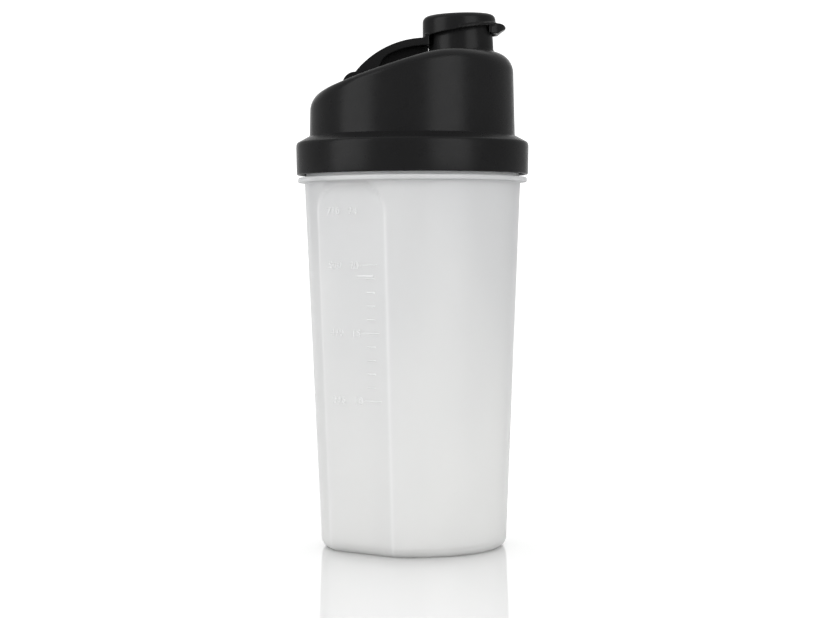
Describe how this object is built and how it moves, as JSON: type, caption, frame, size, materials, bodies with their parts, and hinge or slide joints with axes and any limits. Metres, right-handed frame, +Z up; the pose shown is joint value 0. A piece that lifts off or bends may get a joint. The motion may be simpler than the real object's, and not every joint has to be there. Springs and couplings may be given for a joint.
{
  "type": "protein shaker bottle",
  "caption": "Tapered translucent shaker cup with flat grip panels, a threaded neck, a black screw lid with a sloping top and spout, a hinged flip cap and a mixing strainer.",
  "frame": {"origin": "on the cup's axis, in the plane of the ring that the cup stands on", "axes": "+Z up along the cup's axis, +X towards the spout, +Y to the back of the spout's side view"},
  "size_m": [0.0974, 0.0974, 0.2233],
  "materials": {
    "natural_plastic": "milky translucent polypropylene, satin",
    "strainer_plastic": "natural polypropylene, satin",
    "black_plastic": "black polypropylene, satin",
    "seal_rubber": "soft silicone, matt"
  },
  "bodies": {
    "cup": {"cup": "natural_plastic"},
    "strainer": {"mixing_strainer": "strainer_plastic"},
    "gasket": {"lid_gasket": "seal_rubber"},
    "lid": {"screw_lid": "black_plastic"},
    "cap": {"flip_cap": "black_plastic", "spout_seal": "seal_rubber"}
  },
  "joints": [
    {"name": "lid_rise", "type": "slide", "parent": "cup", "child": "gasket", "axis": [0, 0, 1], "range_m": [0, 0.018]},
    {"name": "lid_turn", "type": "hinge", "parent": "gasket", "child": "lid", "pos_m": [0, 0, 0], "axis": [0, 0, 1], "range_deg": [0, 1080]},
    {"name": "cap_flip", "type": "hinge", "parent": "lid", "child": "cap", "pos_m": [-0.0235, 0, 0.193], "axis": [0, -1, 0], "range_deg": [0, 115]},
    {"name": "strainer_lift", "type": "slide", "parent": "cup", "child": "strainer", "axis": [0, 0, 1], "range_m": [0, 0.0165]}
  ],
  "couplings": [
    {"joint": "lid_rise", "follows": "lid_turn", "m_per_rad": 0.00095493},
    {"joint": "strainer_lift", "follows": "lid_turn", "m_per_rad": 0.000875}
  ]
}
